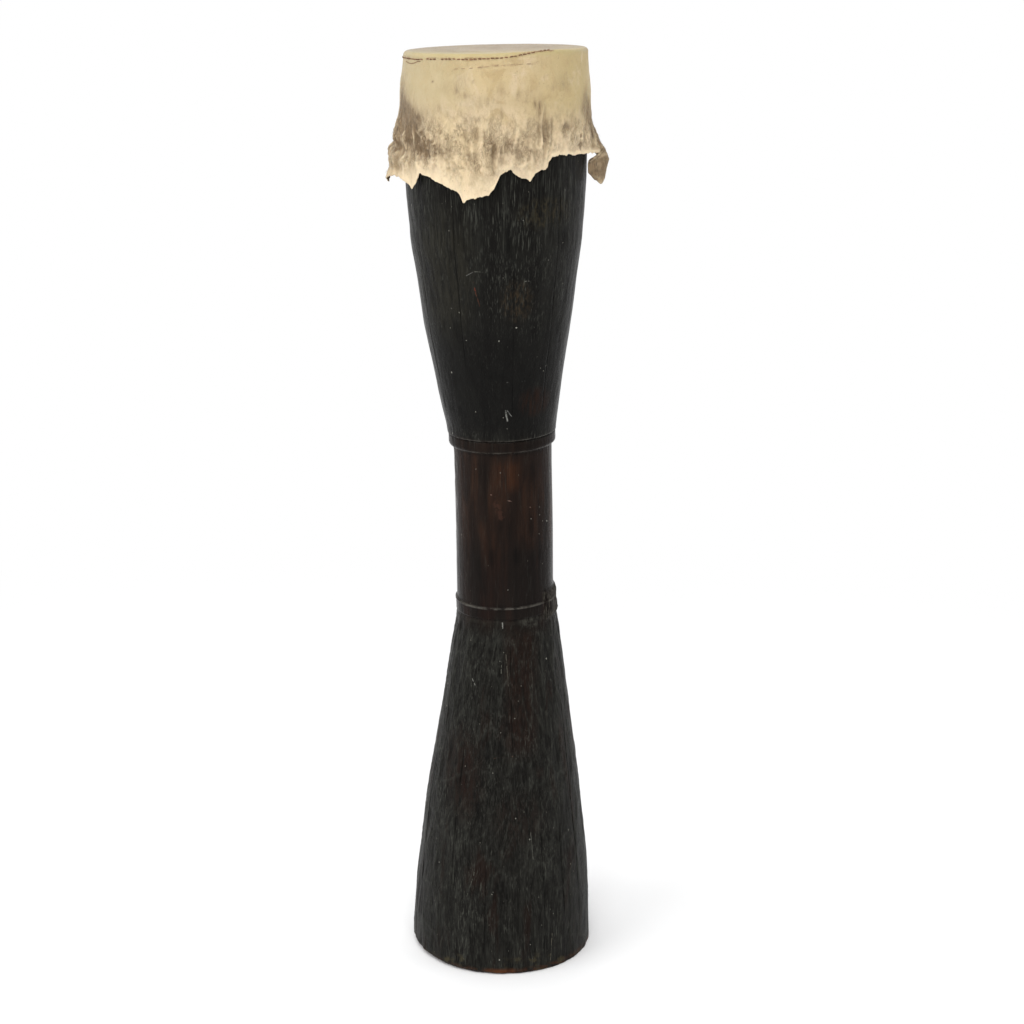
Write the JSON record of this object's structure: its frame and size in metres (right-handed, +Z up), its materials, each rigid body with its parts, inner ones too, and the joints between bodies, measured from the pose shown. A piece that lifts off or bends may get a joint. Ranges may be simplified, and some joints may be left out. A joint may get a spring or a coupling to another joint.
{
  "type": "tall hourglass hand drum",
  "caption": "Tall hourglass hand drum carved from one dark hardwood log, with two carved collars, a flared bell and a ragged rawhide head lapped over the rim.",
  "frame": {"origin": "centre of the foot ring, on the ground", "axes": "+Z up along the drum, -Y towards the front view, +X to its right"},
  "size_m": [0.2259, 0.2032, 1.0035],
  "materials": {
    "wood": "old near-black hardwood, satin, adze-cut vertical grain, worn reddish brown at the waist",
    "rawhide": "dried cream rawhide, slightly translucent, brown stains and stubble",
    "hide_glue": "dried amber glue",
    "peg_wood": "whittled dark hardwood, matt",
    "thread": "dark brown sinew thread"
  },
  "bodies": {
    "drum": {"drum_body": "wood", "hide_skirt": "rawhide", "glue_bed": "hide_glue", "hide_pegs": "peg_wood", "rim_stitches": "thread", "lower_stitches": "thread"},
    "head": {"drumhead": "rawhide"}
  },
  "joints": [
    {"name": "head_flex", "type": "slide", "parent": "drum", "child": "head", "axis": [0.02, -0.033, -0.9993], "range_m": [0, 0.003], "stiffness_N_per_m": 15000}
  ]
}
